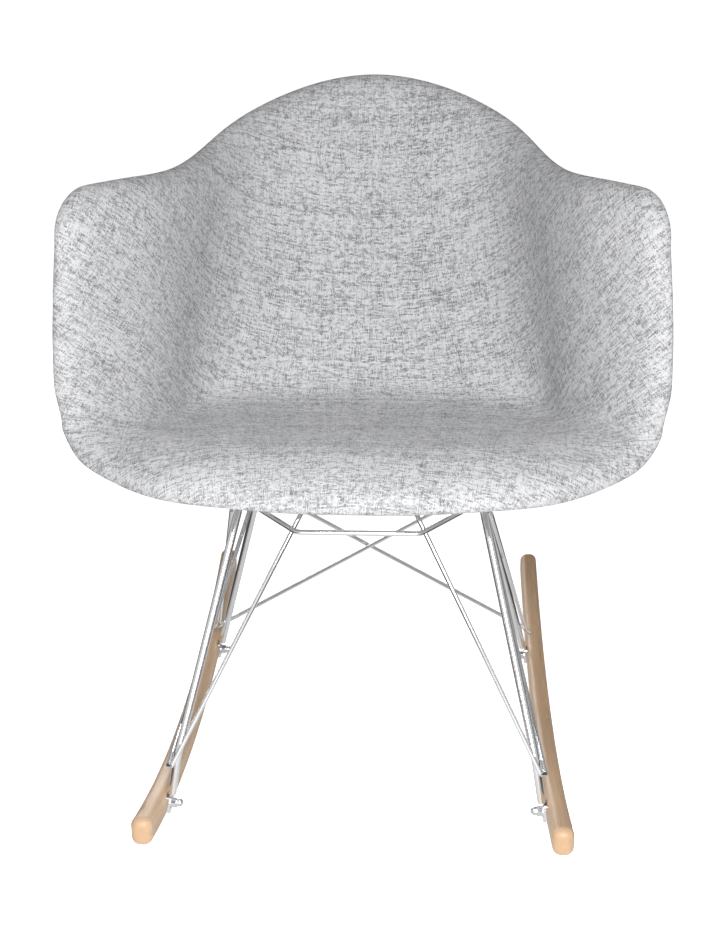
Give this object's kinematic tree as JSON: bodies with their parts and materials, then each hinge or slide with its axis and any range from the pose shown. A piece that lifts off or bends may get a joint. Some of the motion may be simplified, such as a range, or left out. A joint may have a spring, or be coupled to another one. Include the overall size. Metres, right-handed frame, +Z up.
{
  "type": "rocking chair",
  "caption": "Rocking armchair: one-piece bucket shell padded and covered in mottled grey woven fabric, on a bright rod base with pale timber runners.",
  "frame": {"origin": "on the floor, under the middle of the chair's overall length and width", "axes": "+Z up, -Y the way the sitter faces, +X to the right of someone facing the chair"},
  "size_m": [0.6304, 0.6532, 0.7146],
  "materials": {
    "cover": "matte",
    "foam": "matte",
    "shell": "matte",
    "mount_rubber": "matte",
    "insert_brass": "satin",
    "base_steel": "gloss",
    "fastener_steel": "gloss",
    "runner_wood": "satin"
  },
  "bodies": {
    "root": {"inner_cover": "cover", "outer_cover": "cover", "seat_foam": "foam", "back_pad": "foam", "seat_shell": "shell", "rubber_mount_front_left": "mount_rubber", "mount_plate_front_left": "base_steel", "rubber_mount_front_right": "mount_rubber", "mount_plate_front_right": "base_steel", "rubber_mount_rear_left": "mount_rubber", "mount_plate_rear_left": "base_steel", "rubber_mount_rear_right": "mount_rubber", "mount_plate_rear_right": "base_steel", "mount_inserts": "insert_brass", "seat_screws": "fastener_steel", "front_leg_left": "base_steel", "rear_leg_left": "base_steel", "front_brace_left": "base_steel", "front_side_brace_left": "base_steel", "rear_brace_left": "base_steel", "rear_side_brace_left": "base_steel", "side_rail_left": "base_steel", "runner_left": "runner_wood", "foot_tab_front_left": "base_steel", "foot_tab_rear_left": "base_steel", "front_leg_right": "base_steel", "rear_leg_right": "base_steel", "front_brace_right": "base_steel", "front_side_brace_right": "base_steel", "rear_brace_right": "base_steel", "rear_side_brace_right": "base_steel", "side_rail_right": "base_steel", "runner_right": "runner_wood", "foot_tab_front_right": "base_steel", "foot_tab_rear_right": "base_steel", "front_bow": "base_steel", "front_cross_rail": "base_steel", "rear_cross_rail": "base_steel", "runner_bolts": "fastener_steel", "nut_washers": "fastener_steel", "cap_nuts": "fastener_steel"}
  },
  "joints": []
}
